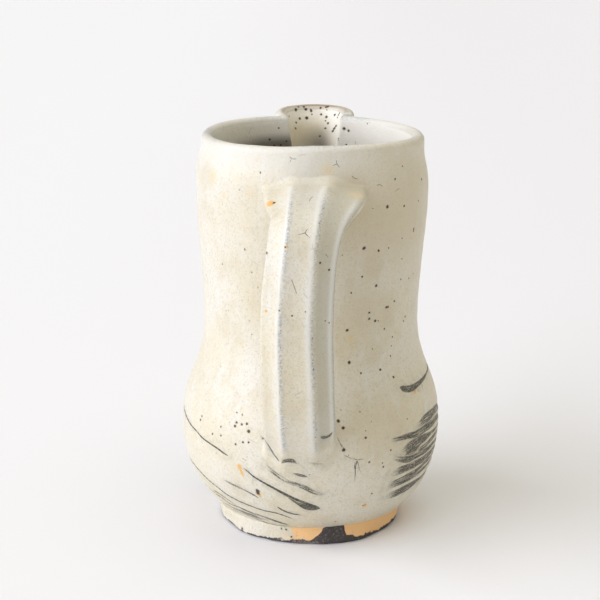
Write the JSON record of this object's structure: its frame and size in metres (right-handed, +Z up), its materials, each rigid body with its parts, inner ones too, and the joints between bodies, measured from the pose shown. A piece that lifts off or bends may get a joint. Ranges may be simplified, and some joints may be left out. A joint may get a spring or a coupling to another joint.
{
  "type": "stoneware pitcher",
  "caption": "Thrown stoneware pitcher with a waisted neck over a round belly, a faceted strap handle, an added pouring spout and a turned foot ring.",
  "frame": {"origin": "centre of the foot ring, on the surface that the pitcher stands on", "axes": "+Z up along the axis of the pot, +Y towards the spout, -Y towards the handle"},
  "size_m": [0.1188, 0.166, 0.182],
  "materials": {
    "glazed_clay": "satin cream-white slip and glaze over dark stoneware, with iron specks, fine crazing and scraped strokes",
    "bare_clay": "turned stoneware foot, thinly glazed above a bare dark edge, flashed orange in places"
  },
  "bodies": {
    "root": {"foot_ring": "bare_clay", "thrown_body": "glazed_clay", "spout": "glazed_clay", "handle_strap": "glazed_clay", "handle_upper_root": "glazed_clay", "handle_lower_root": "glazed_clay"}
  },
  "joints": []
}
